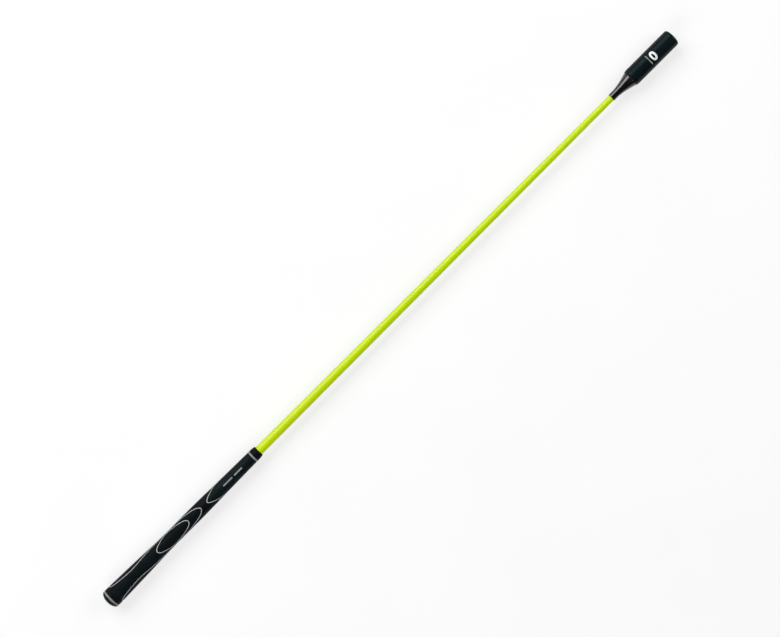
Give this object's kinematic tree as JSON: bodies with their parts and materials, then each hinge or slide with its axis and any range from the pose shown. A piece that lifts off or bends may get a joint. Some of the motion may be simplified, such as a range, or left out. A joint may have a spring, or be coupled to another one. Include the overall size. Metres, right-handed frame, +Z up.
{
  "type": "swing trainer stick",
  "caption": "Golf swing trainer: swelling rubber grip on a tapered whippy shaft, with a flared neck and a small weighted, rubber-covered head.",
  "frame": {"origin": "under the stick's mid-length, on the floor that it lies on", "axes": "+X along the shaft from the grip's butt to the head's end, +Z up, +Y across"},
  "size_m": [1, 0.0252, 0.0253],
  "materials": {
    "cap_rubber": "smooth moulded",
    "grey_rubber": "satin moulded",
    "grip_rubber": "matte, fine moulded texture",
    "tape_paper": "paper-backed adhesive",
    "lime_fibreglass": "lacquered fibreglass",
    "plug_plastic": "moulded",
    "gloss_black": "polished",
    "turned_steel": "turned",
    "insert_aluminium": "drawn rod",
    "pin_steel": "oiled spring steel",
    "cover_rubber": "matte moulded",
    "foam": "closed-cell foam"
  },
  "bodies": {
    "root": {"butt_cap": "cap_rubber", "cap_ring": "grey_rubber", "grip_sleeve": "grip_rubber", "grip_tape": "tape_paper", "shaft": "lime_fibreglass", "butt_plug": "plug_plastic", "neck_ferrule": "gloss_black", "weight_core": "turned_steel", "tip_insert": "insert_aluminium", "lock_pin": "pin_steel", "head_cover": "cover_rubber", "cushion_disc": "foam"}
  },
  "joints": []
}
